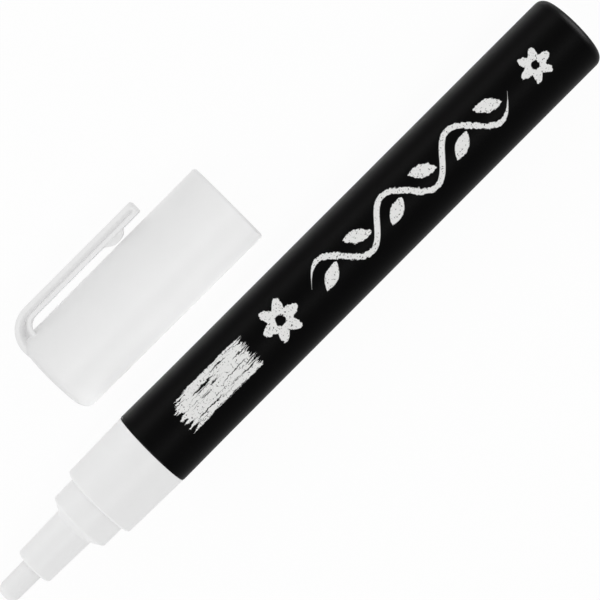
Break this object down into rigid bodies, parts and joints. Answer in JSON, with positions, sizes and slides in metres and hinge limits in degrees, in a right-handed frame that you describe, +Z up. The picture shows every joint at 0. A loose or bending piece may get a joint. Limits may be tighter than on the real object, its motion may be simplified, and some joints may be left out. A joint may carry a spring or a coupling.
{
  "type": "liquid chalk marker",
  "caption": "Pump-action liquid chalk marker: bullet nib in a stepped white front section, round black barrel, and a white clip cap laid beside it.",
  "frame": {"origin": "on the table, under the middle of the box round the marker and the cap beside it", "axes": "+X along the marker from nib to tail, +Y towards the cap, +Z up from the table"},
  "size_m": [0.1386, 0.0406, 0.0166],
  "materials": {
    "barrel_black": "satin black moulded plastic with a white printed design",
    "section_white": "smooth white moulded plastic",
    "cap_white": "smooth white moulded plastic",
    "liner_white": "soft natural white plastic",
    "nib_fibre": "pressed white fibre, unused",
    "absorber_felt": "soft felt",
    "valve_plastic": "natural white plastic",
    "seal_rubber": "soft grey rubber",
    "spring_steel": "drawn stainless wire",
    "ball_steel": "polished steel"
  },
  "bodies": {
    "marker": {"barrel": "barrel_black", "front_section": "section_white", "nib_absorber": "absorber_felt", "valve_seal": "seal_rubber", "valve_body": "valve_plastic", "valve_spring": "spring_steel"},
    "nib": {"nib": "nib_fibre"},
    "plunger": {"valve_plunger": "valve_plastic"},
    "ball": {"mixing_ball": "ball_steel"},
    "cap": {"cap_shell": "cap_white", "inner_cap": "liner_white"},
    "clip": {"clip_arm": "cap_white"}
  },
  "joints": [
    {"name": "nib_press", "type": "slide", "parent": "marker", "child": "nib", "axis": [1, 0, 0], "range_m": [0, 0.0025], "stiffness_N_per_m": 300, "springref_m": -0.001, "deforming": ["valve_spring"]},
    {"name": "valve_open", "type": "slide", "parent": "marker", "child": "plunger", "axis": [1, 0, 0], "range_m": [0, 0.0025]},
    {"name": "ball_roll", "type": "slide", "parent": "marker", "child": "ball", "axis": [1, 0, 0], "range_m": [-0.0372, 0.0386]},
    {"name": "cap_pull", "type": "slide", "parent": "marker", "child": "cap", "axis": [-1, 0, 0], "range_m": [0, 0.085]},
    {"name": "clip_flex", "type": "hinge", "parent": "cap", "child": "clip", "pos_m": [-0.03018, 0.01888, 0.00886], "axis": [0, -0.0523, 0.9986], "range_deg": [0, 6], "stiffness_Nm_per_rad": 0.8}
  ],
  "couplings": [
    {"joint": "valve_open", "follows": "nib_press", "ratio": 1}
  ]
}
